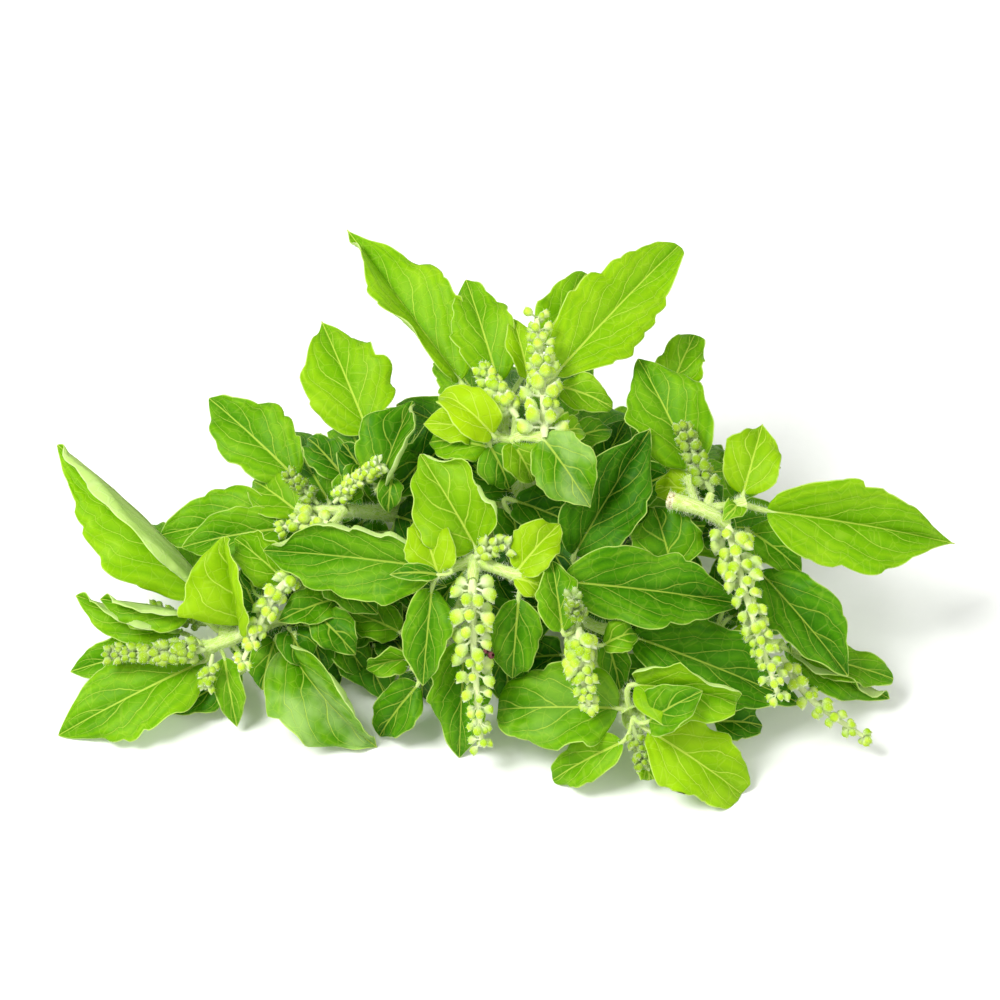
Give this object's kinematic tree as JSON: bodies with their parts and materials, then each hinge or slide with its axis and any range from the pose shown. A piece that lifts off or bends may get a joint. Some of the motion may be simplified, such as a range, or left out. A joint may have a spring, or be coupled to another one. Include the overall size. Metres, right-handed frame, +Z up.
{
  "type": "basil bunch",
  "caption": "Loose heap of cut flowering basil sprigs with toothed leaves, hairy stems and pale flower spikes, lying on a flat surface.",
  "frame": {"origin": "middle of the heap's outline, on the surface that it lies on", "axes": "+X along the heap's width to the right as the picture shows it, +Y away from the viewer, +Z up"},
  "size_m": [0.237, 0.15, 0.0889],
  "materials": {
    "leaf_green": "satin fresh leaf",
    "flower_spike": "soft hairy flower spike"
  },
  "bodies": {
    "root": {"crown_leafy_stem": "leaf_green", "crown_tall_flower_spike": "flower_spike", "crown_side_flower_spike": "flower_spike", "front_leafy_stem": "leaf_green", "front_long_flower_spike": "flower_spike", "front_small_flower_spike": "flower_spike", "middle_leafy_stem": "leaf_green", "middle_front_flower_spike": "flower_spike", "middle_dark_flower_spike": "flower_spike", "right_leafy_stem": "leaf_green", "right_long_flower_spike": "flower_spike", "right_buds_flower_spike": "flower_spike", "edge_leafy_stem": "leaf_green", "edge_stray_flower_spike": "flower_spike", "low_leafy_stem": "leaf_green", "low_small_flower_spike": "flower_spike", "shoulder_leafy_stem": "leaf_green", "shoulder_upper_flower_spike": "flower_spike", "shoulder_side_flower_spike": "flower_spike", "shoulder_back_flower_spike": "flower_spike", "left_leafy_stem": "leaf_green", "left_thick_flower_spike": "flower_spike", "left_drooping_flower_spike": "flower_spike", "left_dark_flower_spike": "flower_spike", "lower_leafy_stem": "leaf_green", "lower_pale_flower_spike": "flower_spike", "back_leafy_stem": "leaf_green", "back_hidden_flower_spike": "flower_spike"}
  },
  "joints": []
}
